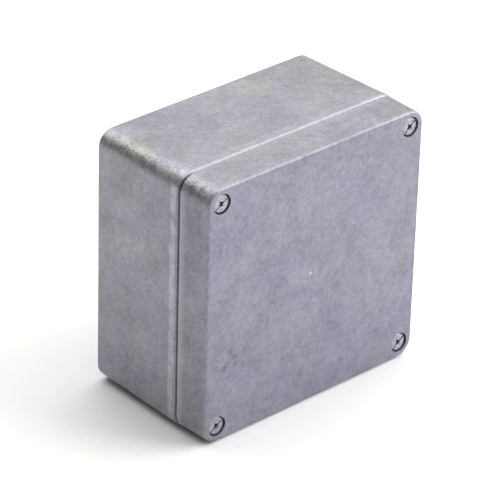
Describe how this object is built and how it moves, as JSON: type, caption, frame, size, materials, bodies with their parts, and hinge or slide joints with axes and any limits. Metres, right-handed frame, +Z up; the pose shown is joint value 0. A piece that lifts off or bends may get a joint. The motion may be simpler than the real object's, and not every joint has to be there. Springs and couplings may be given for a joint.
{
  "type": "die cast aluminium enclosure",
  "caption": "Square die cast aluminium box with a deep lid, cord gasket, captive corner screws and fixing holes outside the seal",
  "frame": {"origin": "on the surface it stands on, under the middle of the box", "axes": "+Z up, -Y out of the lid, +Y out of the wall-fixing face, +X to the right seen from the lid"},
  "size_m": [0.16, 0.092, 0.16],
  "materials": {
    "cast_aluminium": "bare as-cast aluminium, tumbled, mottled grey, matt",
    "screw_steel": "turned stainless steel, dull",
    "ring_steel": "stamped stainless steel",
    "zinc_steel": "zinc plated steel",
    "seal_rubber": "black extruded rubber cord"
  },
  "bodies": {
    "base": {"base": "cast_aluminium", "base_earth_screw": "zinc_steel", "base_earth_washer": "zinc_steel", "base_earth_clamp": "zinc_steel"},
    "lid": {"lid": "cast_aluminium", "lid_gasket": "seal_rubber", "lid_earth_screw": "zinc_steel", "lid_earth_washer": "zinc_steel", "lid_earth_clamp": "zinc_steel"},
    "ring_1": {"screw_ring_1": "ring_steel"},
    "screw_1": {"lid_screw_1": "screw_steel"},
    "ring_2": {"screw_ring_2": "ring_steel"},
    "screw_2": {"lid_screw_2": "screw_steel"},
    "ring_3": {"screw_ring_3": "ring_steel"},
    "screw_3": {"lid_screw_3": "screw_steel"},
    "ring_4": {"screw_ring_4": "ring_steel"},
    "screw_4": {"lid_screw_4": "screw_steel"}
  },
  "joints": [
    {"name": "lid_lift", "type": "slide", "parent": "base", "child": "lid", "axis": [0, -1, 0], "range_m": [0, 0.1]},
    {"name": "screw_draw_1", "type": "slide", "parent": "lid", "child": "ring_1", "axis": [0, -1, 0], "range_m": [0, 0.011]},
    {"name": "screw_turn_1", "type": "hinge", "parent": "ring_1", "child": "screw_1", "pos_m": [-0.0695, -0.023, 0.1495], "axis": [0, -1, 0], "range_deg": [0, 3961]},
    {"name": "screw_draw_2", "type": "slide", "parent": "lid", "child": "ring_2", "axis": [0, -1, 0], "range_m": [0, 0.011]},
    {"name": "screw_turn_2", "type": "hinge", "parent": "ring_2", "child": "screw_2", "pos_m": [0.0695, -0.023, 0.1495], "axis": [0, -1, 0], "range_deg": [0, 3961]},
    {"name": "screw_draw_3", "type": "slide", "parent": "lid", "child": "ring_3", "axis": [0, -1, 0], "range_m": [0, 0.011]},
    {"name": "screw_turn_3", "type": "hinge", "parent": "ring_3", "child": "screw_3", "pos_m": [-0.0695, -0.023, 0.0105], "axis": [0, -1, 0], "range_deg": [0, 3961]},
    {"name": "screw_draw_4", "type": "slide", "parent": "lid", "child": "ring_4", "axis": [0, -1, 0], "range_m": [0, 0.011]},
    {"name": "screw_turn_4", "type": "hinge", "parent": "ring_4", "child": "screw_4", "pos_m": [0.0695, -0.023, 0.0105], "axis": [0, -1, 0], "range_deg": [0, 3961]}
  ],
  "couplings": [
    {"joint": "screw_turn_1", "follows": "screw_draw_1", "rad_per_m": 6283.2},
    {"joint": "screw_turn_2", "follows": "screw_draw_2", "rad_per_m": 6283.2},
    {"joint": "screw_turn_3", "follows": "screw_draw_3", "rad_per_m": 6283.2},
    {"joint": "screw_turn_4", "follows": "screw_draw_4", "rad_per_m": 6283.2}
  ]
}
